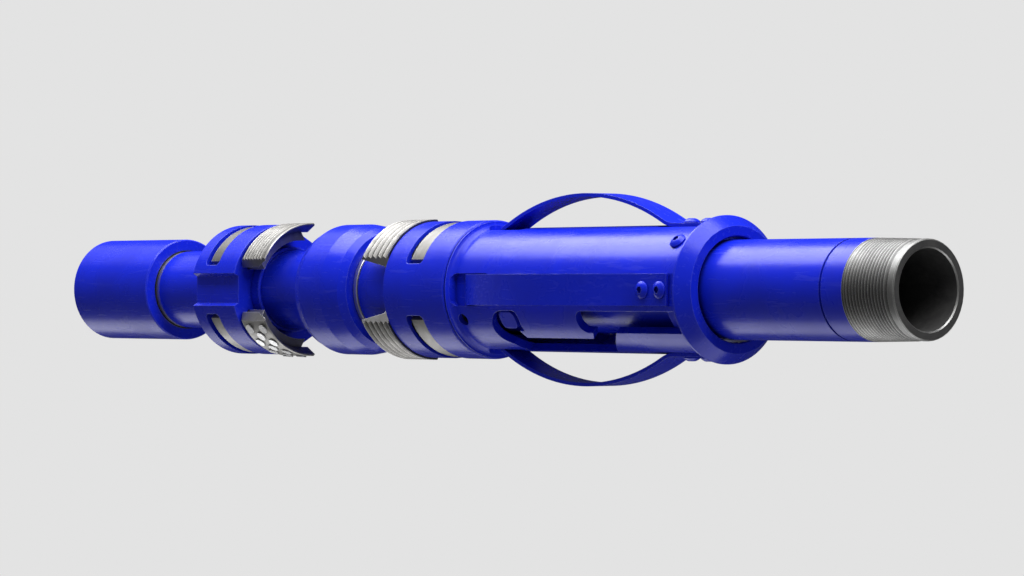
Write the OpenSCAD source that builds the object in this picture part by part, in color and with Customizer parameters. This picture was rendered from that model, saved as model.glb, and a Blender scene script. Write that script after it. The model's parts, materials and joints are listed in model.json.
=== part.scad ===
// Tubing anchor catcher for 2-7/8 in tubing, run in 5-1/2 in casing.
// The tool axis lies along X with the pin end at +X, the front of the tool faces -Y and +Z is up.
// The origin is on the axis, half way along the tool.
// Angles round the axis are measured from the front, positive upward.

/* [Mandrel and coupling] */
// Through bore of the mandrel, radius
bore_r = 31.2; // [28:0.1:32]
// Wall of the coupling at its threaded end
coupling_wall = 7.1; // [5:0.1:9]
// Coupling, length
coupling_len = 120.5; // [110:0.5:140]
// Clearance of the coupling's thread on a pin
box_gap = 0.1; // [0.05:0.05:0.3]
// Length of the coupling's open threaded end
box_len = 56; // [45:1:60]
// Depth to which the mandrel is screwed into the coupling
makeup_len = 50; // [40:1:52]
// Wall of the mandrel's neck
neck_wall = 4.3; // [4:0.1:5]
// Step of the bare run-out ring below the neck
runout_step = 0.5; // [0.3:0.1:1]
// Bare run-out ring beside the coupling, length
runout_len = 5.5; // [3:0.5:8]
// Height of the mandrel shoulder above the neck
shoulder_rise = 6; // [5.5:0.1:6.4]
// Length of the mandrel shoulder
shoulder_len = 95.5; // [90:0.5:105]
// Height of the lower tube and its upset above the neck
tube_rise = 3.9; // [3.5:0.1:4.5]
// Length of the lower tube from the end ring to the thread
tube_len = 153.5; // [120:0.5:200]
// Length of the pin thread with its bare end band
thread_len = 53; // [45:1:60]
// Depth of the thread form
thread_depth = 1.4; // [1:0.1:1.8]
// Fall of the thread's radius along its length
thread_fall = 1; // [0.5:0.1:1.5]
// Width of the bare band at the nose of the pin
nose_len = 6; // [4:0.5:8]
// Wall of the pin at its end face
nose_wall = 7.1; // [6:0.1:8]
// Distance of the gauge groove from the thread
gauge_groove_back = 24; // [15:1:40]
// Width of the gauge groove
gauge_groove_w = 2.4; // [1:0.1:3]
// Depth of the gauge groove
gauge_groove_depth = 1.2; // [0.5:0.1:1.6]

/* [Lengths between the parts] */
// Bare neck between the coupling and the upper cage
upper_neck_len = 89.5; // [80:0.5:110]
// Neck between the upper cage and the cone body
middle_neck_len = 86.5; // [84:0.5:110]
// Gap between the cone lock ring and the lower cage
lower_gap = 57.5; // [54:0.5:62]

/* [Cone body] */
// Wall of the cone body
cone_wall = 21.7; // [20.5:0.1:22.5]
// Fall of the upper cone
cone_upper_fall = 3.6; // [2:0.1:5]
// Length of the upper cone
cone_upper_len = 10; // [8:0.5:12]
// Length of the full diameter
cone_land_len = 30; // [25:0.5:40]
// Length of the long lower taper
cone_taper_len = 21; // [18:0.5:24]
// Fall of the long lower taper
cone_taper_fall = 2.9; // [2:0.1:4]
// Length of the steep lower end
cone_end_len = 7.5; // [6:0.5:10]
// Fall of the steep lower end
cone_end_fall = 4.3; // [3:0.1:6]
// Lock ring, length
lock_ring_len = 5; // [4:0.5:8]
// Wall of the lock ring
lock_ring_wall = 7; // [6.2:0.1:8]
// Height of the retaining ring above the neck
stop_ring_rise = 5.5; // [4:0.1:6]
// Retaining ring, thickness
stop_ring_w = 5; // [3:0.5:6]
// Depth of the retaining ring's groove
stop_groove = 1.2; // [0.8:0.1:1.6]

/* [Slip cages] */
// Wall of the bands over the slips
band_wall = 3.2; // [3:0.1:4]
// Length of the upper cage
upper_cage_len = 63.5; // [60:0.5:70]
// Length of the lower cage
lower_cage_len = 81; // [79:0.5:90]
// Band between the slips and the windows, upper cage
upper_band = 27.5; // [24:0.5:30]
// Band between the slips and the windows, lower cage
lower_band = 25; // [22:0.5:28]
// Length of the upper windows along the tool
upper_window = 20; // [18:0.5:22]
// Length of the lower windows along the tool
lower_window = 23; // [20:0.5:26]
// Half width of a window across the tool
window_half = 36; // [34:0.1:37]
// Corner radius of a window
window_corner = 4; // [2:0.5:6]
// Wall below the slip channels, from the mandrel shoulder
channel_wall = 2.5; // [2:0.1:3]
// Room above the slips' necks for their travel
neck_room = 4.4; // [4.2:0.1:5]
// Half width of the slip channels
channel_half = 26.5; // [25:0.1:28]
// Depth of the bypass channels of the upper cage
bypass_depth = 6.6; // [5:0.1:8]
// Bypass channels: half width at the floor
bypass_half = 12; // [11:0.1:14]
// Bypass channels: slope of the side walls
bypass_slope = 0.54; // [0.3:0.01:0.7]
// Wall of the guide bush in the upper cage
bush_wall = 3; // [2.5:0.1:3.5]
// Length of the guide bush that shows beyond the upper cage
bush_nose = 12; // [8:0.5:14]
// Length of the spigot inside the drag body
spigot_len = 30; // [26:0.5:34]
// Wall of the spigot
spigot_wall = 7; // [6:0.1:8]
// Length of the wider bore in the lower cage
wide_bore_len = 25; // [20:1:28]

/* [Slips] */
// Height of the upper slips above their cage
upper_slip_rise = 0.9; // [0.5:0.1:1.4]
// Height of the lower slips above their cage
lower_slip_rise = 1.7; // [1.2:0.1:2.2]
// Half width of a slip
slip_half = 31.5; // [30:0.1:32.5]
// Half width of a slip's neck under the band
slip_neck_half = 26; // [24:0.1:26.3]
// Space between the upper cage and the upper slips' heads
upper_slip_gap = 5; // [4.5:0.5:8]
// Length of the upper slips' heads
upper_slip_len = 35.5; // [35:0.5:38]
// Thickness of the upper slips' heads
upper_slip_t = 7.6; // [7.2:0.1:7.8]
// Length of the bevel under the upper slips' noses
upper_slip_bevel = 15.5; // [14:0.5:17]
// Thickness of the upper slips' round noses
upper_slip_nose = 2.1; // [1.6:0.1:2.6]
// Length of the sloping back of the upper slips' heads
upper_slip_heel = 4; // [2:0.5:4]
// Space between the lower cage and the lower slips' heads
lower_slip_gap = 0.5; // [0.4:0.1:2]
// Length of the lower slips' heads
lower_slip_len = 37.5; // [36.5:0.5:39]
// Depth of the lower slips' thin ends below their crests
lower_slip_nose = 2.9; // [2.7:0.1:3.3]
// Fall of the lower slips' underside along the head
lower_slip_fall = 7.6; // [7:0.1:8]
// Thickness of the slips' necks
slip_neck_t = 6.7; // [6.4:0.1:7]
// Depth of the slips' tails below the cage
slip_tail_sink = 1.4; // [0.8:0.1:2]
// Space between a tail and the wall of its window on the coupling's side
tail_gap = 5; // [3:0.5:6]
// Space between a tail and the wall of its window on the pin's side
tail_pin_gap = 1; // [0.6:0.1:2]
// Number of wickers on an upper slip
upper_wickers = 7; // [5:1:7]
// Pitch of the upper wickers
upper_pitch = 4.1; // [3.5:0.1:4.2]
// Depth of the upper wickers
upper_wicker_depth = 1.6; // [0.8:0.1:1.8]
// Number of wickers on a lower slip
lower_wickers = 5; // [4:1:5]
// Pitch of the lower wickers
lower_pitch = 6.9; // [6:0.1:7]
// Depth of the lower wickers
lower_wicker_depth = 2.2; // [1:0.1:2.4]
// Distance of the lower wickers' first crest from the thin end
lower_crest_at = 4; // [2.5:0.5:4.5]
// Share of a wicker's pitch that its steep flank takes
wicker_steep = 0.25; // [0.15:0.05:0.4]
// Radius of a carbide button
button_r = 4.6; // [4:0.1:5]
// Height of a carbide button above its slip
button_proud = 1; // [0.4:0.1:1.2]
// Depth of a button's hole
button_depth = 3; // [2.6:0.1:3.2]
// Distance of the first row of buttons from the head's edge
button_first = 8; // [7.5:0.5:9]
// Distance between the rows of buttons
button_pitch = 9.7; // [9.5:0.1:9.8]
// Angle between the buttons of a row
button_turn = 16; // [13:1:17]

/* [Drag body] */
// Wall of the drag body
body_wall = 6.8; // [6.4:0.1:7.6]
// Space between the lower tube's radius and the bore
body_clear = 5.4; // [5.3:0.1:5.8]
// Length from the lower cage to the end ring
body_len = 282.5; // [278:0.5:300]
// Height of the collar at the cage
collar_rise = 6; // [5:0.1:6.8]
// Length of the collar's full radius
collar_len = 2; // [1.5:0.5:5]
// Height of the end ring above the body
ring_rise = 7.2; // [6:0.1:8.4]
// Length of the end ring
ring_len = 13; // [10:0.5:18]
// Length of the end ring's full diameter
ring_land = 2; // [1:0.5:4]
// Fall of the end ring's cone
ring_face_fall = 8.5; // [6:0.1:10]
// Space between the lower tube and the end ring
ring_clear = 2.4; // [1.6:0.1:2.8]
// Length of the end ring's spigot
ring_spigot_len = 24.5; // [24:0.5:30]

/* [J-slots] */
// Direction from which both slots are cut, degrees from the front
slot_angle = -48; // [-50:1:-46]
// Upper edge of the pocket and the long leg, degrees
slot_top = -19.5; // [-20:0.5:-18]
// Lower edge of the long leg, degrees
long_leg_low = -42.2; // [-43:0.1:-41]
// Upper edge of the short leg, degrees
short_leg_top = -50; // [-51:0.5:-49]
// Lower edge of the short leg, degrees
short_leg_low = -77; // [-78:0.5:-76]
// Distance of the pocket from the cage end of the body
pocket_start = 44.5; // [43:0.5:47]
// Length of the pocket
pocket_len = 38; // [36:0.5:40]
// Radius of the pocket's large bend
pocket_bend = 19; // [16:0.5:20]
// Distance of the long leg from the cage end of the body
long_leg_start = 154.5; // [148:0.5:163]
// Distance of the far end of the short leg, along its lower edge
short_leg_end = 168; // [158:0.5:173]
// Lean of the far end of the short leg
short_leg_lean = 27; // [20:0.5:30]
// Distance of the short leg's near end before the pocket's bend
short_leg_back = 10; // [6:0.5:12]
// Height of the straight wall at the short leg's near end
short_leg_wall = 8; // [5:0.5:12]
// Slant of the corner below that wall
short_leg_slant = 5; // [3:0.5:8]
// Length of the throat beside the long leg
throat_len = 12; // [10:0.5:14]
// Slant of the throat's far side
throat_slant = 4.5; // [2:0.5:6]
// Corner radius of the pocket and length of its hook
hook_len = 6; // [4:0.5:7]
// Slant of the hook
hook_slant = 3; // [1:0.5:4]
// Corner radius of the long leg
long_leg_corner = 8; // [6:0.5:9]

/* [Lugs] */
// Angle of the front lug, degrees
lug_angle = -30; // [-31:0.5:-29.5]
// Length of a lug along the tool
lug_len = 18.5; // [14:0.5:18.5]
// Width of a lug
lug_w = 17; // [13:0.5:17.5]
// Depth of the lugs' tops below the body's surface
lug_sink = 1.4; // [0.6:0.1:2.4]
// Radius of a lug's corners
lug_corner = 6.5; // [4:0.5:6.5]
// Bevel along the sides of a lug
lug_bevel = 1.5; // [0.5:0.1:2]
// Distance of the lug's near end from the pocket's wall
lug_back = 13; // [12.5:0.5:14]

/* [Bow springs] */
// Width of a spring
spring_w = 25.4; // [22:0.1:25.8]
// Thickness of a spring
spring_t = 3; // [2.5:0.1:3.2]
// Radius of a spring's outer curve
spring_bend_r = 213; // [205:1:225]
// Distance of the spring's sliding foot from the cage end of the body
spring_foot_at = 19.6; // [19:0.1:22]
// Distance from the end ring to the start of the spring's flat end
spring_flat = 47; // [47:0.1:52]
// Radius of the reverse bend before the bolted end
spring_heel_r = 30; // [25:1:40]
// Depth of a spring's flat seat
seat_depth = 1.6; // [1.2:0.1:2]
// Length of the flat seat from the end ring
seat_len = 68; // [62:1:72]
// Depth of the sliding pocket below the seat
pocket_drop = 3.4; // [3:0.1:3.4]
// Length of the sliding pocket beyond the spring's foot
slide_pocket_len = 30.4; // [24:0.1:34]
// Room for the foot to slide towards the cage
slide_room = 16.6; // [8:0.1:17]
// Half width of the sliding pocket
slide_pocket_half = 13.5; // [13.3:0.1:14]
// Corner radius of the sliding pocket
slide_pocket_corner = 5; // [3:0.5:6]
// Distance from the end ring to the nearer spring screw
spring_screw_back = 20; // [18:0.5:24]
// Distance between a spring's two screws
spring_screw_pitch = 20; // [17:0.5:21]
// Length of the spring beyond its nearer screw
spring_tail = 7.5; // [7:0.5:11]

/* [Screws] */
// Radius of a button head
head_r = 6.8; // [6:0.1:7]
// Height of a button head
head_h = 4.2; // [3.5:0.1:4.5]
// Height of a button head's straight rim
head_rim = 1.3; // [0.8:0.1:2]
// Shank radius
shank_r = 4; // [3.5:0.1:4.2]
// Hex socket, distance across its flats
socket_af = 5; // [4:0.1:5.5]
// Depth of the hex socket
socket_depth = 2.6; // [2:0.1:2.8]
// Angle of the first ring screw, degrees
ring_screw_angle = 47; // [43:0.5:60]
// Distance from the end ring to a ring screw
ring_screw_back = 18; // [16:0.5:20]
// Cage lock screw, radius
lock_screw_r = 5.4; // [5:0.1:5.8]
// Distance of the lock screws from the cage end of the body
lock_screw_at = 11; // [10:0.5:13]
// Depth of the lock screws below the body's surface
lock_screw_recess = 4; // [2:0.5:4.5]
// Depth of the lock screws in the lower cage's spigot
lock_screw_bite = 3; // [2:0.5:4]
// Angle of the first lock screw, degrees
lock_screw_angle = -29; // [-32:0.5:-28]

/* [Fits] */
// Radial clearance of seats that don't move
seat_gap = 0.05; // [0.02:0.01:0.1]
// Radial clearance of the screws in the springs
spring_hole_gap = 0.2; // [0.1:0.05:0.4]
// Radial clearance of turning and sliding fits
run_gap = 0.08; // [0.04:0.01:0.1]
// Clearance between faces that pass or leave each other
face_gap = 0.3; // [0.2:0.05:0.5]

/* [Hidden] */
$fn = 160;

// Angles of the repeated parts
slip_angles = [60, -60, 180];
bypass_angles = [0, 120, 240];
spring_angles = [0, 90, 180, 270];
opposite = 180;

// Places along the axis
cone_len = cone_upper_len + cone_land_len + cone_taper_len + cone_end_len;
total_len = coupling_len + upper_neck_len + upper_cage_len + middle_neck_len + cone_len
    + lock_ring_len + lower_gap + lower_cage_len + body_len + ring_len + tube_len + thread_len;
x_left = -total_len / 2;
x_coupling = x_left + coupling_len;
x_upper_cage = x_coupling + upper_neck_len;
x_upper_face = x_upper_cage + upper_cage_len;
x_cone = x_upper_face + middle_neck_len;
x_lock = x_cone + cone_len;
x_shoulder = x_lock + lock_ring_len;
x_lower_face = x_shoulder + lower_gap;
x_body = x_lower_face + lower_cage_len;
x_ring = x_body + body_len;
x_tube = x_ring + ring_len;
x_thread = x_tube + tube_len;
x_right = x_thread + thread_len;

// Radii of the mandrel and coupling
edge = 1;
neck_r = bore_r + neck_wall;
runout_r = neck_r - runout_step;
shoulder_r = neck_r + shoulder_rise;
tube_r = neck_r + tube_rise;
nose_r = bore_r + nose_wall;
box_r = tube_r + box_gap;
coupling_r = box_r + coupling_wall;
lower_tube_step = 4;

// Radii of the cone body and its rings
cone_r = neck_r + cone_wall;
cone_upper_r = cone_r - cone_upper_fall;
cone_taper_r = cone_r - cone_taper_fall;
cone_lower_r = cone_taper_r - cone_end_fall;
lock_ring_r = neck_r + lock_ring_wall;
stop_ring_r = neck_r + stop_ring_rise;

// Radii of the cages and slips
upper_cage_bore_r = neck_r + bush_wall;
channel_floor_r = shoulder_r + channel_wall;
slip_neck_in_r = channel_floor_r + face_gap;
slip_neck_out_r = slip_neck_in_r + slip_neck_t;
band_inner_r = slip_neck_out_r + neck_room;
cage_r = band_inner_r + band_wall;
bypass_floor = cage_r - bypass_depth;
slip_tail_r = cage_r - slip_tail_sink;
upper_slip_r = cage_r + upper_slip_rise;
lower_slip_r = cage_r + lower_slip_rise;
lower_slip_tip_r = lower_slip_r - lower_slip_nose;

// Radii of the drag body, its springs and screws
body_bore_r = tube_r + body_clear;
body_r = body_bore_r + body_wall;
collar_r = body_r + collar_rise;
ring_r = body_r + ring_rise;
ring_face_r = ring_r - ring_face_fall;
ring_bore_r = tube_r + ring_clear;
spigot_r = body_bore_r - run_gap;
spigot_bore_r = spigot_r - spigot_wall;
lock_hole_r = spigot_r - lock_screw_bite;
lug_top_r = body_r - lug_sink;
seat_floor = body_r - seat_depth;
slide_floor = seat_floor - pocket_drop;
spring_top = seat_floor + spring_t;
reach = 3 * body_r;

// Places of the lugs, springs and screws
x_lug = x_body + pocket_start + lug_back;
x_foot = x_body + spring_foot_at;
x_heel = x_ring - spring_flat;
x_screw_near = x_ring - spring_screw_back;
x_ring_screw = x_ring - ring_screw_back;
x_lock_screw = x_body + lock_screw_at;

// Turned solid about the tool axis, from points of [place along the axis, radius]
module turned(profile) {
    rotate([0, 90, 0]) rotate_extrude() polygon([for (p = profile) [p[1], p[0]]]);
}

// Plain ring about the tool axis
module ring(x0, x1, r_in, r_out) {
    turned([[x0, r_in], [x1, r_in], [x1, r_out], [x0, r_out]]);
}

// Turns what is drawn on top of the tool to an angle from the front
module at_angle(angle) {
    rotate([90 - angle, 0, 0]) children();
}

// Slab above the axis, from x0 to x1 and half wide to each side
module slab(x0, x1, half) {
    translate([x0, -half, 0]) cube([x1 - x0, 2 * half, reach]);
}

// Plan of a rectangle with round corners
module round_plan(x0, x1, y0, y1, r) {
    translate([x0 + r, y0]) square([x1 - x0 - 2 * r, y1 - y0]);
    translate([x0, y0 + r]) square([x1 - x0, y1 - y0 - 2 * r]);
    for (x = [x0 + r, x1 - r], y = [y0 + r, y1 - r]) translate([x, y]) circle(r);
}

// Radial hole or shank, drawn on top of the tool
module radial(x, r, from, to) {
    translate([x, 0, from]) cylinder(r = r, h = to - from);
}

module coupling() {
    x_makeup = x_coupling - makeup_len;
    color("mediumblue") difference() {
        turned([[x_left, box_r], [x_left, coupling_r - edge], [x_left + edge, coupling_r],
            [x_coupling - edge, coupling_r], [x_coupling, coupling_r - edge],
            [x_coupling, neck_r + edge], [x_coupling - edge, runout_r + seat_gap],
            [x_makeup - face_gap, runout_r + seat_gap], [x_makeup - face_gap, bore_r],
            [x_left + box_len, bore_r], [x_left + box_len, box_r]]);
        turned([[x_left - edge, 0], [x_left - edge, box_r + 2 * edge], [x_left, box_r + edge],
            [x_left + edge, box_r], [x_left + edge, 0]]);
    }
}

module mandrel() {
    x_step = x_shoulder + shoulder_len;
    x_upset = x_ring - lower_tube_step;
    x_gauge = x_thread - gauge_groove_back;
    root_r = tube_r - thread_depth;
    x_nose = x_right - nose_len;
    groove_x0 = x_upper_cage - stop_ring_w - face_gap - seat_gap;
    groove_x1 = x_upper_cage - face_gap + seat_gap;
    color("mediumblue") turned([[x_coupling - makeup_len, bore_r], [x_coupling - makeup_len, runout_r],
        [x_coupling + runout_len, runout_r], [x_coupling + runout_len, neck_r],
        [groove_x0, neck_r], [groove_x0, neck_r - stop_groove],
        [groove_x1, neck_r - stop_groove], [groove_x1, neck_r],
        [x_shoulder, neck_r], [x_shoulder, shoulder_r - edge], [x_shoulder + edge, shoulder_r],
        [x_step, shoulder_r], [x_step, neck_r], [x_upset, neck_r],
        [x_upset + lower_tube_step, tube_r], [x_gauge, tube_r],
        [x_gauge, tube_r - gauge_groove_depth], [x_gauge + gauge_groove_w, tube_r - gauge_groove_depth],
        [x_gauge + gauge_groove_w, tube_r], [x_thread, tube_r], [x_thread + edge, root_r],
        [x_nose, root_r - thread_fall], [x_nose, nose_r], [x_right - edge, nose_r],
        [x_right, nose_r - edge], [x_right, bore_r + edge], [x_right - edge, bore_r]]);
}

module cone_body() {
    x_land = x_cone + cone_upper_len;
    x_taper = x_land + cone_land_len;
    color("mediumblue") turned([[x_cone, neck_r + seat_gap], [x_cone, cone_upper_r], [x_land, cone_r],
        [x_taper, cone_r], [x_taper + cone_taper_len, cone_taper_r], [x_lock, cone_lower_r],
        [x_lock, neck_r + seat_gap]]);
}

module cone_lock_ring() {
    bevel = edge / 2;
    color("silver") turned([[x_lock, neck_r + seat_gap], [x_lock, lock_ring_r - bevel],
        [x_lock + bevel, lock_ring_r], [x_shoulder - bevel, lock_ring_r],
        [x_shoulder, lock_ring_r - bevel], [x_shoulder, neck_r + seat_gap]]);
}

module cage_stop_ring() {
    x_end = x_upper_cage - face_gap;
    gap_half = 4;
    color("dimgray") difference() {
        ring(x_end - stop_ring_w, x_end, neck_r - stop_groove + seat_gap, stop_ring_r);
        at_angle(180) slab(x_end - stop_ring_w - edge, x_end + edge, gap_half);
    }
}

// Lug: a block with round corners and bevelled sides, seated on the mandrel's neck
module j_lug(angle) {
    color("mediumblue") at_angle(angle) difference() {
        linear_extrude(lug_top_r) round_plan(x_lug, x_lug + lug_len, -lug_w / 2, lug_w / 2, lug_corner);
        ring(x_lug - edge, x_lug + lug_len + edge, 0, neck_r + seat_gap);
        for (side = [-1, 1]) translate([x_lug + lug_len / 2, side * lug_w / 2, lug_top_r])
            rotate([45, 0, 0]) cube([reach, lug_bevel, lug_bevel], center = true);
    }
}

// Slip channels and windows of a cage, for the cage face at 0 with the cage on the -X side
module slip_cuts(band, window) {
    for (angle = slip_angles) at_angle(angle) {
        intersection() {
            ring(-band - window, edge, channel_floor_r, band_inner_r);
            slab(-band - window, edge, channel_half);
        }
        intersection() {
            ring(-band - window, -band, channel_floor_r, reach);
            linear_extrude(reach) round_plan(-band - window, -band, -window_half, window_half, window_corner);
        }
    }
}

module upper_cage() {
    color("mediumblue") difference() {
        turned([[x_upper_cage, upper_cage_bore_r], [x_upper_cage, cage_r - edge],
            [x_upper_cage + edge, cage_r], [x_upper_face - edge / 2, cage_r],
            [x_upper_face, cage_r - edge / 2], [x_upper_face, upper_cage_bore_r]]);
        translate([x_upper_face, 0, 0]) slip_cuts(upper_band, upper_window);
        for (angle = bypass_angles) at_angle(angle) bypass_cut();
    }
}

// Flat-bottomed bypass channel along the upper cage
module bypass_cut() {
    rise = cage_r + edge - bypass_floor;
    top_half = bypass_half + rise * bypass_slope;
    translate([x_upper_cage - edge, 0, 0]) rotate([90, 0, 90]) linear_extrude(upper_cage_len + 2 * edge)
        polygon([[-bypass_half, bypass_floor], [bypass_half, bypass_floor],
            [top_half, bypass_floor + rise], [-top_half, bypass_floor + rise]]);
}

module cage_guide_bush() {
    outer = upper_cage_bore_r - seat_gap;
    x_end = x_upper_face + bush_nose;
    color("mediumblue") turned([[x_upper_cage + edge, neck_r + run_gap], [x_upper_cage + edge, outer],
        [x_end - edge, outer], [x_end, outer - edge], [x_end, neck_r + run_gap]]);
}

// Saw-tooth outline of the wickers, rising over a share of each pitch
function wickers(start, count, pitch, depth, r, rise) = [for (i = [0:count - 1], k = [0:1])
    [start + (i + k * rise) * pitch, r - (1 - k) * depth]];

// Part of a turned slip profile that lies within the slip's width
module slip_piece(profile, x0, x1, half) {
    intersection() {
        turned(profile);
        slab(x0, x1, half);
    }
}

// Tail and neck of a slip, for the cage face at 0 with the head on the +X side
module slip_neck(band, window, near_gap, far_gap, rib_end, rib_top) {
    far = -band - window + far_gap;
    near = -band - near_gap;
    flank = edge + face_gap + slip_neck_t / 3;
    slip_piece([[near, slip_neck_in_r], [near, slip_tail_r], [far, slip_tail_r],
        [far + flank, slip_neck_out_r], [far + flank, slip_neck_in_r]], far, near, slip_half);
    slip_piece([[near - edge, slip_neck_in_r], [rib_end, slip_neck_in_r], [rib_end, rib_top],
        [edge, rib_top], [edge, slip_neck_out_r], [near - edge, slip_neck_out_r]],
        near - edge, rib_end, slip_neck_half);
}

// Upper slip on top of the tool: wickers on the head unless it carries buttons
module upper_slip_solid(wickered) {
    head = upper_slip_gap;
    tip = head + upper_slip_len;
    under = upper_slip_r - upper_slip_t;
    nose = upper_slip_nose / 2;
    round_nose = [for (a = [80:-20:-60]) [tip - nose + nose * cos(a), upper_slip_r - nose + nose * sin(a)]];
    rise = 1 - wicker_steep;
    teeth = wickered ? wickers(head, upper_wickers + 1, upper_pitch, upper_wicker_depth, upper_slip_r, rise)
        : [[head, upper_slip_r - edge], [head + edge, upper_slip_r]];
    translate([x_upper_face, 0, 0]) union() {
        slip_piece(concat([[head - upper_slip_heel, under]], teeth, [[tip - nose, upper_slip_r]],
            round_nose, [[tip - upper_slip_bevel, under]]), head - upper_slip_heel, tip, slip_half);
        slip_neck(upper_band, upper_window, tail_pin_gap, tail_gap, tip - upper_slip_bevel - edge,
            under + edge);
    }
}

// Three rows of buttons on the bottom slip, the middle one with one button fewer
module each_button(r, from, to) {
    for (row = [0:2], i = [0:3 - row % 2])
        at_angle(slip_angles[1] + (i - (3 - row % 2) / 2) * button_turn)
            radial(x_upper_face + upper_slip_gap + button_first + row * button_pitch, r, from, to);
}

module upper_slip(index) {
    color("silver") difference() {
        at_angle(slip_angles[index]) upper_slip_solid(index != 1);
        if (index == 1) each_button(button_r + seat_gap, upper_slip_r - button_depth, upper_slip_r + edge);
    }
}

module carbide_buttons() {
    color("dimgray") each_button(button_r, upper_slip_r - button_depth + seat_gap,
        upper_slip_r + button_proud);
}

module lower_cage() {
    bore_r2 = shoulder_r + face_gap;
    x_clear = x_body - wide_bore_len;
    x_spigot = x_body + spigot_len;
    color("mediumblue") difference() {
        turned([[x_lower_face, bore_r2], [x_lower_face, cage_r - edge / 2],
            [x_lower_face + edge / 2, cage_r], [x_body - face_gap - edge, cage_r],
            [x_body - face_gap, cage_r - edge], [x_body - face_gap, spigot_r],
            [x_spigot - edge, spigot_r], [x_spigot, spigot_r - edge], [x_spigot, spigot_bore_r],
            [x_clear, spigot_bore_r], [x_clear, bore_r2]]);
        translate([x_lower_face, 0, 0]) mirror([1, 0, 0]) slip_cuts(lower_band, lower_window);
        for (turn = [0, opposite]) at_angle(lock_screw_angle + turn)
            radial(x_lock_screw, lock_screw_r + seat_gap, lock_hole_r, reach);
    }
}

module lower_slip(index) {
    head = lower_slip_gap;
    tip = head + lower_slip_len;
    heel_r = lower_slip_tip_r - lower_slip_fall;
    heel_rise = 3;
    start = tip - lower_crest_at - (lower_wickers - 1 + wicker_steep) * lower_pitch;
    teeth = wickers(start, lower_wickers, lower_pitch, lower_wicker_depth, lower_slip_r, wicker_steep);
    color("silver") at_angle(slip_angles[index]) translate([x_lower_face, 0, 0]) mirror([1, 0, 0]) union() {
        slip_piece(concat([[head, heel_r], [head, lower_slip_r]], teeth,
            [[tip, lower_slip_r - lower_wicker_depth], [tip, lower_slip_tip_r]]), head, tip, slip_half);
        slip_neck(lower_band, lower_window, tail_gap, tail_pin_gap, head + lower_slip_len / 2,
            heel_r + heel_rise);
    }
}

module drag_body() {
    fillet = collar_r - body_r;
    x_fillet = x_body + collar_len + fillet;
    curve = [for (a = [0:15:90]) [x_fillet - fillet * cos(a), body_r + fillet * (1 - sin(a))]];
    color("mediumblue") difference() {
        turned(concat([[x_body, body_bore_r], [x_body, collar_r - edge], [x_body + edge, collar_r]],
            curve, [[x_ring, body_r], [x_ring, body_bore_r]]));
        for (angle = spring_angles) at_angle(angle) spring_seat_cut();
        for (turn = [0, opposite]) at_angle(slot_angle + turn) linear_extrude(reach) slot_plan();
        for (turn = [0, opposite]) at_angle(lock_screw_angle + turn)
            radial(x_lock_screw, lock_screw_r + seat_gap, body_bore_r - 2 * edge, reach);
        for (turn = [0, opposite]) at_angle(ring_screw_angle + turn)
            radial(x_ring_screw, shank_r + seat_gap, body_bore_r - 2 * edge, reach);
    }
}

// Flat seat, sliding pocket and screw holes of one bow spring
module spring_seat_cut() {
    translate([x_ring - seat_len, -slide_pocket_half, seat_floor])
        cube([seat_len + edge, 2 * slide_pocket_half, reach]);
    translate([0, 0, slide_floor]) linear_extrude(reach)
        round_plan(x_foot - slide_room, x_foot + slide_pocket_len, -slide_pocket_half,
            slide_pocket_half, slide_pocket_corner);
    for (i = [0, 1]) radial(x_screw_near - i * spring_screw_pitch, shank_r + seat_gap,
        body_bore_r - 2 * edge, reach);
}

// Height on the slot's plan of an angle at the body's surface
function slot_y(angle) = body_r * sin(angle - slot_angle);

// Plan of one J-slot: pocket, crossing, short leg, throat and long leg
module slot_plan() {
    top = slot_y(slot_top);
    long_low = slot_y(long_leg_low);
    short_top = slot_y(short_leg_top);
    short_low = slot_y(short_leg_low);
    x_pocket = x_body + pocket_start;
    x_bend = x_pocket + pocket_bend;
    x_pocket_end = x_pocket + pocket_len;
    x_long = x_body + long_leg_start;
    x_throat = x_long + throat_len;
    x_short = x_bend - short_leg_back;
    x_end = x_body + short_leg_end;
    intersection() {
        translate([x_bend, top - pocket_bend]) circle(pocket_bend);
        translate([x_pocket, short_low]) square([pocket_bend, top - short_low]);
    }
    translate([x_bend - edge, long_low]) square([x_pocket_end - hook_len - x_bend + edge, top - long_low]);
    translate([x_bend, long_low + edge]) square([x_pocket_end - x_bend, top - hook_len - long_low - edge]);
    translate([x_pocket_end - hook_len, top - hook_len]) circle(hook_len);
    polygon([[x_bend - edge, long_low + 2 * edge], [x_short, short_top],
        [x_short, short_top - short_leg_wall], [x_short + short_leg_slant, short_low],
        [x_end, short_low], [x_end + short_leg_lean, long_low],
        [x_end + short_leg_lean, long_low + edge], [x_throat, long_low + edge],
        [x_throat, long_low - edge], [x_throat - throat_slant, short_top],
        [x_pocket_end - hook_slant, short_top], [x_pocket_end - hook_len, long_low + edge],
        [x_pocket_end - hook_len, long_low + 2 * edge]]);
    round_plan(x_long, x_ring + long_leg_corner, long_low, top, long_leg_corner);
}

module end_ring() {
    x_spigot = x_ring - ring_spigot_len;
    color("mediumblue") difference() {
        turned([[x_spigot, ring_bore_r], [x_spigot, spigot_r - edge], [x_spigot + edge, spigot_r],
            [x_ring, spigot_r], [x_ring, ring_r - edge / 2], [x_ring + edge / 2, ring_r],
            [x_ring + ring_land, ring_r], [x_tube, ring_face_r], [x_tube, ring_bore_r + edge],
            [x_tube - edge, ring_bore_r]]);
        for (turn = [0, opposite]) at_angle(ring_screw_angle + turn)
            radial(x_ring_screw, shank_r + seat_gap, ring_bore_r - edge, reach);
    }
}

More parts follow.
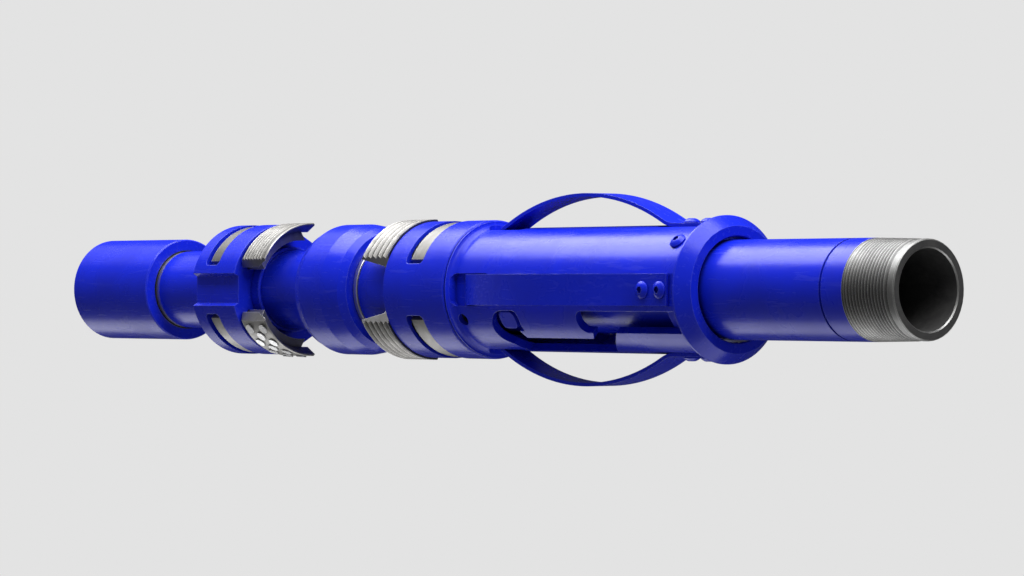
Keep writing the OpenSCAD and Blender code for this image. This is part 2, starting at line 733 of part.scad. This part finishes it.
// Bow spring on top of the tool: long bow, reverse bend and flat bolted end.
// The bow's circle runs through the foot and touches the circle of the reverse bend.
module bow_spring_solid() {
    foot = slide_floor + seat_gap;
    heel_z = spring_top + spring_heel_r;
    under_r = spring_bend_r - spring_t;
    span = spring_bend_r + spring_heel_r;
    across = x_heel - x_foot;
    rise = heel_z - foot;
    chord = sqrt(across * across + rise * rise);
    along = (under_r * under_r - span * span + chord * chord) / (2 * chord);
    below = sqrt(under_r * under_r - along * along);
    bow_x = x_foot + (along * across + below * rise) / chord;
    bow_z = foot + (along * rise - below * across) / chord;
    peak = bow_z + spring_bend_r;
    meet = spring_bend_r / span;
    meet_x = bow_x + (x_heel - bow_x) * meet;
    meet_z = bow_z + (heel_z - bow_z) * meet;
    lap = 0.2;
    past = 1.5;
    x_far = x_screw_near + spring_tail;
    difference() {
        translate([0, spring_w / 2, 0]) rotate([90, 0, 0]) linear_extrude(spring_w) {
            intersection() {
                translate([bow_x, bow_z]) difference() {
                    circle(spring_bend_r, $fn = 360);
                    circle(under_r, $fn = 360);
                }
                polygon([[bow_x, bow_z], [x_foot, foot], [x_foot, peak + edge], [meet_x, peak + edge],
                    [meet_x, meet_z]]);
            }
            intersection() {
                translate([x_heel, heel_z]) difference() {
                    circle(spring_heel_r + spring_t);
                    circle(spring_heel_r);
                }
                polygon([[x_heel + lap, heel_z], [x_heel + (meet_x - x_heel) * past - lap,
                    heel_z + (meet_z - heel_z) * past], [x_heel + lap, spring_top - 2 * spring_t]]);
            }
            translate([x_heel, seat_floor]) square([x_far - x_heel, spring_t]);
        }
        for (i = [0, 1]) radial(x_screw_near - i * spring_screw_pitch, shank_r + spring_hole_gap,
            seat_floor - edge, spring_top + edge);
    }
}

module bow_spring(angle) {
    color("mediumblue") at_angle(angle) bow_spring_solid();
}

// Button head with a hex socket and a plain shank, seated at radius seat
module button_screw(x, seat, shank_end) {
    dome_h = head_h - head_rim;
    dome_r = (head_r * head_r + dome_h * dome_h) / (2 * dome_h);
    translate([x, 0, 0]) difference() {
        union() {
            intersection() {
                translate([0, 0, seat]) cylinder(r = head_r, h = head_h);
                translate([0, 0, seat + head_h - dome_r]) sphere(dome_r);
            }
            translate([0, 0, shank_end]) cylinder(r = shank_r, h = seat - shank_end + edge / 2);
        }
        translate([0, 0, seat + head_h - socket_depth])
            cylinder(r = socket_af / sqrt(3), h = 2 * socket_depth, $fn = 6);
    }
}

module spring_screws(angle) {
    color("mediumblue") at_angle(angle) for (i = [0, 1])
        button_screw(x_screw_near - i * spring_screw_pitch, spring_top, body_bore_r + face_gap);
}

module ring_screws() {
    color("mediumblue") for (turn = [0, opposite]) at_angle(ring_screw_angle + turn)
        button_screw(x_ring_screw, body_r, ring_bore_r + face_gap);
}

module cage_lock_screws() {
    top = body_r - lock_screw_recess;
    color("dimgray") for (turn = [0, opposite]) at_angle(lock_screw_angle + turn) difference() {
        radial(x_lock_screw, lock_screw_r, lock_hole_r + seat_gap, top);
        translate([x_lock_screw, 0, top - socket_depth])
            cylinder(r = socket_af / sqrt(3), h = 2 * socket_depth, $fn = 6);
    }
}

coupling();
mandrel();
cone_body();
cone_lock_ring();
cage_stop_ring();
j_lug(lug_angle);  // j_lug_front
j_lug(lug_angle + opposite);  // j_lug_back
upper_cage();
cage_guide_bush();
upper_slip(0);  // upper_slip_top
upper_slip(1);  // upper_slip_bottom
upper_slip(2);  // upper_slip_rear
carbide_buttons();
lower_cage();
lower_slip(0);  // lower_slip_top
lower_slip(1);  // lower_slip_bottom
lower_slip(2);  // lower_slip_rear
drag_body();
end_ring();
bow_spring(spring_angles[0]);  // bow_spring_front
bow_spring(spring_angles[1]);  // bow_spring_top
bow_spring(spring_angles[2]);  // bow_spring_rear
bow_spring(spring_angles[3]);  // bow_spring_bottom
spring_screws(spring_angles[0]);  // spring_screws_front
spring_screws(spring_angles[1]);  // spring_screws_top
spring_screws(spring_angles[2]);  // spring_screws_rear
spring_screws(spring_angles[3]);  // spring_screws_bottom
ring_screws();
cage_lock_screws();
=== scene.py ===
# Tubing anchor catcher: looks, threads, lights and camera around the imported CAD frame.
import json
import math

import bmesh
import bpy
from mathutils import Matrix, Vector


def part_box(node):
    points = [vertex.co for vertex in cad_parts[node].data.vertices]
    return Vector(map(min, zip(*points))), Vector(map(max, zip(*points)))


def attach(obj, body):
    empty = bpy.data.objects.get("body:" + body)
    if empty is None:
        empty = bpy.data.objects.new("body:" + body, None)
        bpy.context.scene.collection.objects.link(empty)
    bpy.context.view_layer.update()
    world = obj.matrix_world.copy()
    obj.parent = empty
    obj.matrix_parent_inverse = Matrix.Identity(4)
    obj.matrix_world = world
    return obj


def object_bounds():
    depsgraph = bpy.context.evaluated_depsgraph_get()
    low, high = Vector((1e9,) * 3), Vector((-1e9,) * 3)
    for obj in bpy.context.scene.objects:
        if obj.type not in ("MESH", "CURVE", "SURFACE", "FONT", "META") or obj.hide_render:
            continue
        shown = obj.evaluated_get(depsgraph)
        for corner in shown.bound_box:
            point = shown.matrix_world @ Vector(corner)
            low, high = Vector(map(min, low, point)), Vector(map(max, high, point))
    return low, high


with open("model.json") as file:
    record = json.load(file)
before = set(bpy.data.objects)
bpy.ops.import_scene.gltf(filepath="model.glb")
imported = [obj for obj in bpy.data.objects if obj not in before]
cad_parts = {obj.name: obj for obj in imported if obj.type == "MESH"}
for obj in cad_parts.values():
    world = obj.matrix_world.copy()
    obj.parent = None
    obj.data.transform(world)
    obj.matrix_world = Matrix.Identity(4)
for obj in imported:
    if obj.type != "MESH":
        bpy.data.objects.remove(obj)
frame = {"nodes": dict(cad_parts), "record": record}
cad_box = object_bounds()
MM = 0.001

# Camera, in millimetres and degrees: it looks level at the tool from the pin's side
SENSOR = 36.0
LENS = 135.0
LOOK_TURN = 50.0
CAMERA_AT = Vector((2522.4, -2070.4, 1.4))

# How far the camera sees, in metres
CLIP_END = 50.0

# Threads, in millimetres
PITCH = 3.175
PIN_LEN = 53.0
PIN_THREAD_LEN = 45.6
PIN_THREAD_R = 39.4
PIN_THREAD_FALL = 1.0
BOX_THREAD_START = 3.0
BOX_THREAD_LEN = 50.0
BOX_THREAD_R = 39.5
THREAD_DEPTH = 1.45
THREAD_SINK = 0.15

# A thread's crest as a share of the pitch, its height at its very ends as a share of the depth,
# how fast it rises from there along its length, and the steps of one turn
CREST_SHARE = 0.1
END_HEIGHT = 0.2
END_RISE = 16
TURN_STEPS = 96

# Bare places of the painted mandrel and coupling, in millimetres: where the bare ring beside the
# coupling ends, counted from the coupling's open end, the radii that tell the insides from the
# outsides, the bevel of the pin's rim, and the slack of a face that lies on a limit
RUNOUT_END = 126.1
BORE_SIDE_R = 34.0
BOX_SIDE_R = 40.0
RIM_BEVEL = 2.0
FACE_SLACK = 0.1

# Paint, from its body colour to its scuffs, then its painted shade in the corners and its painted highlight
# along the edges
BLUE = (0.0065, 0.021, 0.65, 1)
BLUE_CLOUD = (0.007, 0.018, 0.52, 1)
BLUE_SCUFF = (0.14, 0.16, 0.75, 1)
BLUE_CORNER_SHADE = (0.001, 0.003, 0.09, 1)
BLUE_EDGE_HIGHLIGHT = (0.22, 0.26, 0.85, 1)

# Oiled thread with painted shade in its grooves and a painted highlight on its crests, scaled bore,
# blackened screws and ground carbide
OILED_DARK = (0.22, 0.22, 0.22, 1)
OILED_LIGHT = (0.34, 0.34, 0.335, 1)
OILED_GROOVE_SHADE = (0.015, 0.015, 0.015, 1)
OILED_EDGE_HIGHLIGHT = (0.85, 0.85, 0.84, 1)
SCALE_DARK = (0.06, 0.06, 0.061, 1)
SCALE_LIGHT = (0.10, 0.099, 0.097, 1)
BLACKENED_DARK = (0.012, 0.012, 0.03, 1)
BLACKENED_LIGHT = (0.05, 0.05, 0.09, 1)
CARBIDE_DARK = (0.55, 0.55, 0.56, 1)
CARBIDE_LIGHT = (0.78, 0.78, 0.78, 1)

# The pale background as the camera and the gloss see it, and what world and floor give as light
BACKGROUND = (0.768, 0.768, 0.768, 1)
AMBIENT = (0.17, 0.17, 0.18, 1)
FLOOR_BOUNCE = (0.40, 0.40, 0.41, 1)

# The tool hangs above a wide floor, as in a catalogue picture, in metres
FLOOR_DROP = 0.40
FLOOR_HALF = 9

# Studio flags: their distance from the axis, their ends along it and the lower edge of those
# that stand across it, in metres, then the glow of each kind of card
FLAG_R = 0.42
FLAG_X = (-6, 3)
END_FLAG_LOW = -0.4
CARD_GLOW = 0.12
BLACK_CARD_GLOW = 0.05
STRIP_GLOW = 2.0

# Lamps, in metres and watts per metre: their place and depth, the key's two ends along the axis,
# and those of the fill, which goes on from the key and shows in no gloss
LAMP_Y = -0.09
LAMP_Z = 0.66
LAMP_DEPTH = 0.58
POWER_PER_METRE = 10.5
KEY_X = (-0.75, 1.2)
FILL_X = (-1.25, -0.75)


# Shader helpers
class Nodes:
    """One material's node tree, with short calls for the nodes that the materials here share."""

    def __init__(self, name):
        self.material = bpy.data.materials.new(name)
        self.material.use_nodes = True
        self.tree = self.material.node_tree
        self.tree.nodes.clear()
        self.output = self.add("ShaderNodeOutputMaterial")
        self.shader = self.add("ShaderNodeBsdfPrincipled")
        self.link(self.shader.outputs["BSDF"], self.output.inputs["Surface"])
        self.place = self.add("ShaderNodeTexCoord").outputs["Object"]

    def add(self, kind, **settings):
        node = self.tree.nodes.new(kind)
        for name, value in settings.items():
            setattr(node, name, value)
        return node

    def link(self, a, b):
        self.tree.links.new(a, b)

    def stretched(self, scale, turn=(0, 0, 0)):
        node = self.add("ShaderNodeMapping")
        node.inputs["Scale"].default_value = scale
        node.inputs["Rotation"].default_value = turn
        self.link(self.place, node.inputs["Vector"])
        return node.outputs["Vector"]

    def noise(self, vector, scale, detail=4.0, rough=0.55, distortion=0.0):
        node = self.add("ShaderNodeTexNoise")
        node.inputs["Scale"].default_value = scale
        node.inputs["Detail"].default_value = detail
        node.inputs["Roughness"].default_value = rough
        node.inputs["Distortion"].default_value = distortion
        self.link(vector, node.inputs["Vector"])
        return node.outputs["Fac"]

    def ramp(self, value, low, high, out_low=0.0, out_high=1.0):
        """The value between low and high, carried over to out_low and out_high and held there."""
        node = self.add("ShaderNodeMapRange")
        for name, number in zip(("From Min", "From Max", "To Min", "To Max"),
                                (low, high, out_low, out_high)):
            node.inputs[name].default_value = number
        self.link(value, node.inputs["Value"])
        return node.outputs["Result"]

    def math(self, operation, a, b):
        node = self.add("ShaderNodeMath", operation=operation)
        for socket, value in zip(node.inputs, (a, b)):
            if isinstance(value, (int, float)):
                socket.default_value = value
            else:
                self.link(value, socket)
        return node.outputs["Value"]

    def mix(self, factor, a, b):
        node = self.add("ShaderNodeMix", data_type="RGBA")
        self.link(factor, node.inputs[0])
        for socket, value in ((node.inputs[6], a), (node.inputs[7], b)):
            if isinstance(value, tuple):
                socket.default_value = value
            else:
                self.link(value, socket)
        return node.outputs[2]

    def bump(self, height, distance, strength=1.0, normal=None):
        node = self.add("ShaderNodeBump")
        node.inputs["Distance"].default_value = distance
        node.inputs["Strength"].default_value = strength
        self.link(height, node.inputs["Height"])
        if normal is not None:
            self.link(normal, node.inputs["Normal"])
        return node.outputs["Normal"]

    def soft_edges(self, radius):
        node = self.add("ShaderNodeBevel", samples=4)
        node.inputs["Radius"].default_value = radius
        return node.outputs["Normal"]

    def shelter(self, distance):
        """Near 1 in the open, falling where other faces stand close by."""
        node = self.add("ShaderNodeAmbientOcclusion", samples=4)
        node.inputs["Distance"].default_value = distance
        return node.outputs["AO"]

    def edge_highlight(self, radius):
        """A mask for a painted highlight: 1 along the outer edges, 0 on the faces and in the corners."""
        dot = self.add("ShaderNodeVectorMath", operation="DOT_PRODUCT")
        self.link(self.soft_edges(radius), dot.inputs[0])
        self.link(self.add("ShaderNodeNewGeometry").outputs["Normal"], dot.inputs[1])
        edge = self.ramp(self.math("SUBTRACT", 1.0, dot.outputs["Value"]), 0.02, 0.16)
        in_the_open = self.ramp(self.shelter(0.003), 0.75, 0.95)
        return self.math("MULTIPLY", edge, in_the_open)

    def set(self, **values):
        """Sockets of the shader, by their names with _ for each space."""
        for name, value in values.items():
            self.shader.inputs[name.replace("_", " ")].default_value = value

    def surface(self, colour, rough, normal):
        self.link(colour, self.shader.inputs["Base Color"])
        self.link(rough, self.shader.inputs["Roughness"])
        self.link(normal, self.shader.inputs["Normal"])
        return self.material


def grey(value):
    """A faintly warm grey."""
    return (value, 0.98 * value, 0.95 * value, 1)


def blue_paint():
    """Thin glossy enamel over turned steel: tool marks, slanting scuffs, a painted highlight along the
    edges and painted shade in the corners.
    """
    n = Nodes("blue_paint")
    n.set(Specular_IOR_Level=0.25)
    tool_marks = n.noise(n.stretched((1, 0.03, 0.03)), 1100, 3, 0.6)
    cloud = n.noise(n.place, 22, 4, 0.55, 0.4)
    slant = n.noise(n.stretched((1, 12, 12), (0.2, 0.5, 0.9)), 22, 3, 0.6, 0.3)
    peel = n.noise(n.place, 260, 2, 0.5)
    scuff = n.ramp(slant, 0.58, 0.76)
    # Painted shade: the blue turns near black where faces stand close, in corners and recesses
    corner = n.ramp(n.shelter(0.006), 0.15, 0.8, 0.7, 0.0)
    colour = n.mix(n.ramp(cloud, 0.3, 0.75), BLUE, BLUE_CLOUD)
    colour = n.mix(n.math("MULTIPLY", scuff, 0.10), colour, BLUE_SCUFF)
    colour = n.mix(corner, colour, BLUE_CORNER_SHADE)
    # Painted highlight: a lighter blue along the outer edges
    colour = n.mix(n.math("MULTIPLY", n.edge_highlight(0.0007), 0.5), colour, BLUE_EDGE_HIGHLIGHT)
    rough = n.math("ADD", n.ramp(cloud, 0.3, 0.7, 0.22, 0.31), n.math("MULTIPLY", scuff, 0.12))
    normal = n.bump(tool_marks, 0.00005, 0.4, n.soft_edges(0.0006))
    normal = n.bump(slant, 0.0003, 0.08, normal)
    return n.surface(colour, rough, n.bump(peel, 0.0001, 0.06, normal))


def bare_steel(name, shade, groove_shade):
    """Machined steel: fine tool lines, tarnish in patches, painted shade in the grooves and a painted
    highlight along the crests.
    """
    n = Nodes(name)
    n.set(Metallic=1.0)
    lines = n.noise(n.stretched((1, 0.04, 0.04)), 1900, 3, 0.6)
    patch = n.noise(n.place, 60, 4, 0.6, 0.3)
    # Painted shade: near black in grooves and corners, as strong as the third argument asks
    groove = n.ramp(n.shelter(0.004), 0.45, 0.95, groove_shade, 0.0)
    colour = n.mix(n.ramp(patch, 0.35, 0.7), grey(0.8 * shade), grey(1.2 * shade))
    colour = n.mix(n.ramp(lines, 0.35, 0.6, 0.0, 0.35), colour, grey(0.5 * shade))
    colour = n.mix(groove, colour, grey(0.02))
    # Painted highlight: pale grey along the outer edges and crests
    colour = n.mix(n.edge_highlight(0.0006), colour, grey(0.9))
    normal = n.bump(lines, 0.00008, 0.5, n.soft_edges(0.0002))
    return n.surface(colour, n.ramp(patch, 0.3, 0.7, 0.50, 0.38), normal)


def thread_steel():
    """Darker, oiled steel of the pin, its thread and the box."""
    n = Nodes("thread_steel")
    n.set(Metallic=1.0)
    lines = n.noise(n.stretched((1, 0.03, 0.03)), 1500, 3, 0.6)
    patch = n.noise(n.place, 45, 4, 0.6, 0.4)
    # Painted shade: near black in the grooves of the thread
    groove = n.ramp(n.shelter(0.004), 0.5, 0.95, 0.95, 0.0)
    colour = n.mix(n.ramp(patch, 0.3, 0.7), OILED_DARK, OILED_LIGHT)
    colour = n.mix(groove, colour, OILED_GROOVE_SHADE)
    # Painted highlight: pale along the crests and edges of the thread
    colour = n.mix(n.edge_highlight(0.0005), colour, OILED_EDGE_HIGHLIGHT)
    normal = n.bump(lines, 0.00008, 0.5, n.soft_edges(0.0003))
    return n.surface(colour, n.ramp(patch, 0.3, 0.7, 0.54, 0.44), normal)


def bore_steel():
    """Dull grey scale in the bore and on the pin's end face."""
    n = Nodes("bore_steel")
    n.set(Metallic=0.3)
    rings = n.noise(n.stretched((1, 0.1, 0.1)), 500, 4, 0.6)
    patch = n.noise(n.place, 70, 4, 0.6, 0.5)
    colour = n.mix(n.ramp(patch, 0.3, 0.7), SCALE_DARK, SCALE_LIGHT)
    normal = n.bump(rings, 0.0001, 0.4, n.soft_edges(0.0003))
    return n.surface(colour, n.ramp(patch, 0.3, 0.7, 0.62, 0.48), normal)


def dark_steel():
    """Blackened screws and rings."""
    n = Nodes("dark_steel")
    n.set(Metallic=0.8)
    patch = n.noise(n.place, 160, 4, 0.6)
    colour = n.mix(n.ramp(patch, 0.35, 0.65), BLACKENED_DARK, BLACKENED_LIGHT)
    normal = n.bump(patch, 0.0002, 0.3, n.soft_edges(0.0004))
    return n.surface(colour, n.ramp(patch, 0.3, 0.7, 0.6, 0.4), normal)


def carbide():
    """Ground carbide faces of the buttons, pale with a fine grain."""
    n = Nodes("carbide")
    n.set(Metallic=0.9)
    grain = n.noise(n.place, 700, 4, 0.7)
    colour = n.mix(n.ramp(grain, 0.35, 0.65), CARBIDE_DARK, CARBIDE_LIGHT)
    normal = n.bump(grain, 0.0001, 0.4, n.soft_edges(0.0004))
    return n.surface(colour, n.ramp(grain, 0.3, 0.7, 0.45, 0.3), normal)


# Materials of the CAD pieces
def assign(node, material):
    mesh = frame["nodes"][node].data
    mesh.materials.clear()
    mesh.materials.append(material)


paint = blue_paint()
# Bare steel, with strong painted shade in its grooves
steel = bare_steel("bare_steel", 0.33, 0.95)
# A lighter copy of the bare steel with no painted shade: a painted highlight for the thin bare rings
highlit_ring_steel = bare_steel("highlit_ring_steel", 0.75, 0.0)
oiled = thread_steel()
scale = bore_steel()
black = dark_steel()
hard = carbide()
by_slot = {"blue_paint": paint, "bare_steel": steel, "dark_steel": black, "carbide": hard}
for entry in frame["record"]["subparts"]:
    assign(entry["node"], by_slot[entry["material_slot"]])
# The lock ring takes the lighter ring steel, whose brightness is a painted highlight
assign("cone_lock_ring", highlit_ring_steel)

x_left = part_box("coupling")[0][0] / MM
x_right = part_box("mandrel")[1][0] / MM


# The mandrel is bare at its pin, in its bore and beside the coupling, and painted elsewhere
def paint_mandrel():
    mesh = frame["nodes"]["mandrel"].data
    index = {}
    for material in (oiled, highlit_ring_steel, scale):
        index[material] = len(mesh.materials)
        mesh.materials.append(material)
    end_x = (x_right - FACE_SLACK) * MM
    rim_x = (x_right - RIM_BEVEL) * MM
    thread_x = (x_right - PIN_LEN - FACE_SLACK) * MM
    runout_x = (x_left + RUNOUT_END) * MM
    for face in mesh.polygons:
        corners = [mesh.vertices[i].co for i in face.vertices]
        first = min(c.x for c in corners)
        last = max(c.x for c in corners)
        if first > end_x:
            face.material_index = index[scale]
        elif all(math.hypot(c.y, c.z) < BORE_SIDE_R * MM for c in corners):
            face.material_index = index[oiled] if first > rim_x else index[scale]
        elif first > thread_x:
            face.material_index = index[oiled]
        # The bare ring beside the coupling takes the lighter ring steel, whose brightness is a painted
        # highlight
        elif last < runout_x:
            face.material_index = index[highlit_ring_steel]


def bare_inside(node, radius, material):
    mesh = frame["nodes"][node].data
    index = len(mesh.materials)
    mesh.materials.append(material)
    for face in mesh.polygons:
        corners = [mesh.vertices[i].co for i in face.vertices]
        if all(math.hypot(c.y, c.z) < radius * MM for c in corners):
            face.material_index = index


paint_mandrel()
bare_inside("coupling", BOX_SIDE_R, oiled)


# Threads
def helix(name, start, length, radius, fall, inward, body):
    """A tapered thread ridge about the X axis, its ends run out, as one closed strip."""
    mesh = bmesh.new()
    steps = int(length / PITCH * TURN_STEPS)
    half_base = PITCH / 2
    half_crest = PITCH * CREST_SHARE / 2
    rings = []
    for i in range(steps + 1):
        share = i / steps
        turn = 2 * math.pi * i / TURN_STEPS
        crest = radius - fall * share
        height = min(1.0, END_RISE * share + END_HEIGHT, END_RISE * (1 - share) + END_HEIGHT)
        tall = THREAD_DEPTH * height
        if inward:
            base = crest + THREAD_SINK
            top = crest - tall
        else:
            base = crest - THREAD_DEPTH - THREAD_SINK
            top = crest - THREAD_DEPTH + tall
        outline = ((-half_base, base), (-half_crest, top), (half_crest, top), (half_base, base))
        ring = []
        for along, r in outline:
            x = start + length * share + along
            ring.append(mesh.verts.new((x * MM, r * math.cos(turn) * MM, r * math.sin(turn) * MM)))
        rings.append(ring)
    for a, b in zip(rings, rings[1:]):
        for k in range(4):
            mesh.faces.new((a[k], a[(k + 1) % 4], b[(k + 1) % 4], b[k]))
    mesh.faces.new(rings[0])
    mesh.faces.new(list(reversed(rings[-1])))
    bmesh.ops.recalc_face_normals(mesh, faces=mesh.faces)
    data = bpy.data.meshes.new(name)
    mesh.to_mesh(data)
    mesh.free()
    data.materials.append(oiled)
    piece = bpy.data.objects.new(name, data)
    bpy.context.scene.collection.objects.link(piece)
    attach(piece, body)


helix("pin_thread", x_right - PIN_LEN, PIN_THREAD_LEN, PIN_THREAD_R, PIN_THREAD_FALL,
      inward=False, body="mandrel_assembly")
helix("box_thread", x_left + BOX_THREAD_START, BOX_THREAD_LEN, BOX_THREAD_R, 0,
      inward=True, body="mandrel_assembly")


# Floor and background: camera and gloss see one pale colour, and the light on the tool stays plain
def sees_background(tree):
    """1 for the rays that show the background, 0 for those that light the tool."""
    path = tree.nodes.new("ShaderNodeLightPath")
    total = path.outputs["Is Camera Ray"]
    for name in ("Is Glossy Ray", "Is Transmission Ray"):
        node = tree.nodes.new("ShaderNodeMath")
        node.operation = "MAXIMUM"
        tree.links.new(total, node.inputs[0])
        tree.links.new(path.outputs[name], node.inputs[1])
        total = node.outputs["Value"]
    return total


def stage_material():
    n = Nodes("stage")
    n.set(Roughness=0.9, Specular_IOR_Level=0.0, Base_Color=FLOOR_BOUNCE)
    glow = n.add("ShaderNodeEmission")
    glow.inputs["Color"].default_value = BACKGROUND
    mix = n.add("ShaderNodeMixShader")
    n.link(sees_background(n.tree), mix.inputs["Fac"])
    n.link(n.shader.outputs["BSDF"], mix.inputs[1])
    n.link(glow.outputs["Emission"], mix.inputs[2])
    n.link(mix.outputs["Shader"], n.output.inputs["Surface"])
    return n.material


def stage_plane(name, corners, material):
    data = bpy.data.meshes.new(name)
    data.from_pydata([Vector(c) for c in corners], [], [(0, 1, 2, 3)])
    data.materials.append(material)
    plane = bpy.data.objects.new(name, data)
    bpy.context.scene.collection.objects.link(plane)
    return plane


def pale_world():
    world = bpy.data.worlds.new("world")
    world.use_nodes = True
    bpy.context.scene.world = world
    tree = world.node_tree
    tree.nodes.clear()
    output = tree.nodes.new("ShaderNodeOutputWorld")
    seen = tree.nodes.new("ShaderNodeBackground")
    seen.inputs["Color"].default_value = BACKGROUND
    light = tree.nodes.new("ShaderNodeBackground")
    light.inputs["Color"].default_value = AMBIENT
    mix = tree.nodes.new("ShaderNodeMixShader")
    tree.links.new(sees_background(tree), mix.inputs["Fac"])
    tree.links.new(light.outputs["Background"], mix.inputs[1])
    tree.links.new(seen.outputs["Background"], mix.inputs[2])
    tree.links.new(mix.outputs["Shader"], output.inputs["Surface"])


floor_z = cad_box[0][2] - FLOOR_DROP
floor_corners = [(x * FLOOR_HALF, y * FLOOR_HALF, floor_z) for x, y in ((-1, -1), (1, -1), (1, 1), (-1, 1))]
stage_plane("floor", floor_corners, stage_material())
pale_world()


# Cards round the tool, dark ones and one bright strip, which only its gloss shows
def card_material(name, glow):
    """A studio card of one brightness."""
    n = Nodes(name)
    n.set(Roughness=1.0, Specular_IOR_Level=0.0, Base_Color=(0, 0, 0, 1))
    n.set(Emission_Color=(1, 1, 1, 1), Emission_Strength=glow)
    return n.material


def card(name, corners, material):
    plane = stage_plane(name, corners, material)
    plane.visible_camera = False
    plane.visible_diffuse = False
    plane.visible_shadow = False


def side_flag(name, low, high, material):
    """A card along the tool, between two angles round the axis, counted from the front."""
    corners = []
    for x, angle in ((FLAG_X[0], low), (FLAG_X[1], low), (FLAG_X[1], high), (FLAG_X[0], high)):
        turn = math.radians(angle)
        corners.append((x, -FLAG_R * math.cos(turn), FLAG_R * math.sin(turn)))
    card(name, corners, material)


def end_flag(name, x, half_width, top, material):
    """A card across the axis, beyond one end of the tool."""
    corners = [(x, -half_width, END_FLAG_LOW), (x, half_width, END_FLAG_LOW),
               (x, half_width, top), (x, -half_width, top)]
    card(name, corners, material)


dark = card_material("dark_card", CARD_GLOW)
black_card = card_material("black_card", BLACK_CARD_GLOW)
bright = card_material("bright_card", STRIP_GLOW)
side_flag("flag_front_high", 0, 55, dark)
side_flag("flag_front_low", -74, 0, dark)
side_flag("strip_under", -112, -76, bright)
side_flag("flag_back_high", 116, 165, black_card)
side_flag("flag_back_low", -165, -113, black_card)
side_flag("flag_back_level", 165, 195, black_card)
end_flag("flag_pin_side", x=1.6, half_width=2, top=2.4, material=black_card)
end_flag("flag_box_side", x=-2.5, half_width=3, top=1.2, material=dark)


# Lamps and camera
def lamp(name, ends, in_gloss):
    """A soft rectangular lamp over the tool that looks down, between two ends along X."""
    data = bpy.data.lights.new(name, "AREA")
    data.shape = "RECTANGLE"
    data.size = ends[1] - ends[0]
    data.size_y = LAMP_DEPTH
    data.energy = POWER_PER_METRE * data.size
    obj = bpy.data.objects.new(name, data)
    obj.location = ((ends[0] + ends[1]) / 2, LAMP_Y, LAMP_Z)
    obj.visible_camera = False
    obj.visible_glossy = in_gloss
    bpy.context.scene.collection.objects.link(obj)


lamp("key", KEY_X, in_gloss=True)
lamp("fill", FILL_X, in_gloss=False)

camera_data = bpy.data.cameras.new("camera")
camera_data.lens = LENS
camera_data.sensor_width = SENSOR
camera_data.clip_end = CLIP_END
camera = bpy.data.objects.new("camera", camera_data)
camera.location = CAMERA_AT * MM
camera.rotation_euler = (math.radians(90), 0, math.radians(LOOK_TURN))
bpy.context.scene.collection.objects.link(camera)
bpy.context.scene.camera = camera
bpy.context.scene.view_settings.view_transform = "Standard"
